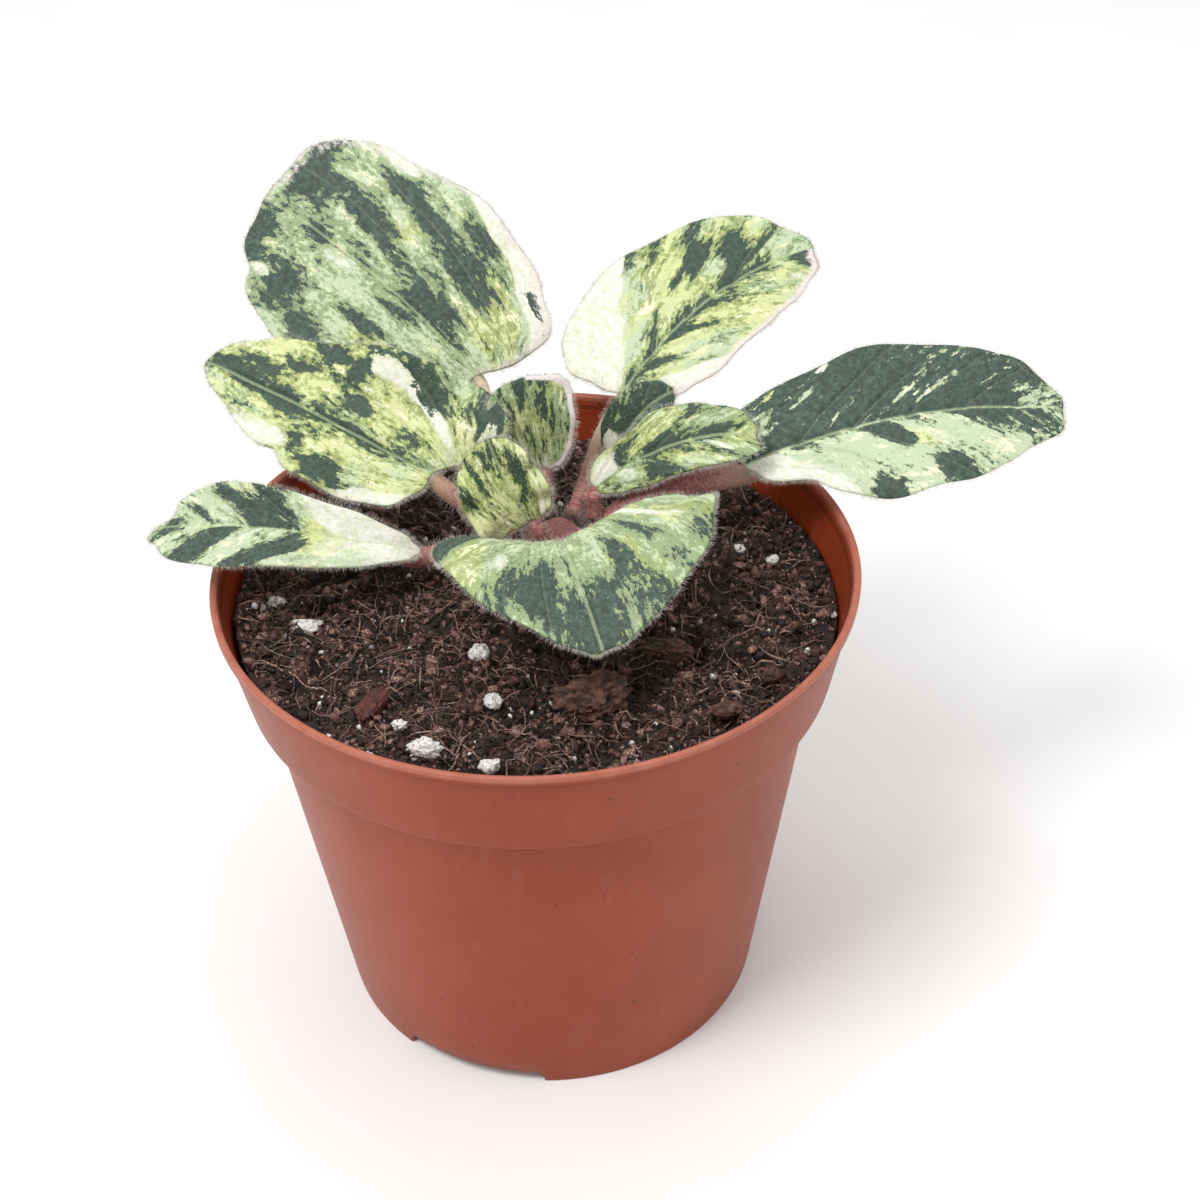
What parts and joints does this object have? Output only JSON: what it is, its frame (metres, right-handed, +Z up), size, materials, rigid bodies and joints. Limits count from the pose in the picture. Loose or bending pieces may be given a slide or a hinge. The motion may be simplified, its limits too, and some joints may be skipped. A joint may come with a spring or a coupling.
{
  "type": "potted african violet",
  "caption": "Small potted plant: rosette of variegated, softly hairy leaves on short stalks in soil, in a round tapered nursery pot with a rim band.",
  "frame": {"origin": "middle of the bounding box's underside, in the plane that the pot's foot ring stands on; the pot's own axis is 11.4 mm to -X and 10.75 mm to -Y of it, because the leaves reach out to one side", "axes": "+Z up along the pot's axis, +X towards the long right-hand leaf, -Y towards the viewer's side with the small front leaf"},
  "size_m": [0.13, 0.1114, 0.1047],
  "materials": {
    "pot_plastic": "satin moulded plastic",
    "soil": "loose fibrous peat and coir",
    "crown": "fleshy stem",
    "leaf": "velvety variegated leaf",
    "perlite": "porous white grain",
    "bark": "rough chips and peat lumps"
  },
  "bodies": {
    "root": {"bark_chip": "bark", "crown_stem": "crown", "leaf_back_left": "leaf", "leaf_back_right": "leaf", "leaf_front": "leaf", "leaf_left": "leaf", "leaf_lower_left": "leaf", "leaf_right": "leaf", "peat_lump_front": "bark", "peat_lump_right": "bark", "perlite_01": "perlite", "perlite_02": "perlite", "perlite_03": "perlite", "perlite_04": "perlite", "perlite_05": "perlite", "perlite_06": "perlite", "perlite_07": "perlite", "perlite_08": "perlite", "perlite_09": "perlite", "perlite_10": "perlite", "pot": "pot_plastic", "potting_soil": "soil", "smallest_leaf": "leaf", "wood_chip_far": "bark", "wood_chip_right": "bark", "young_leaf_back": "leaf", "young_leaf_front": "leaf", "young_leaf_right": "leaf"}
  },
  "joints": []
}
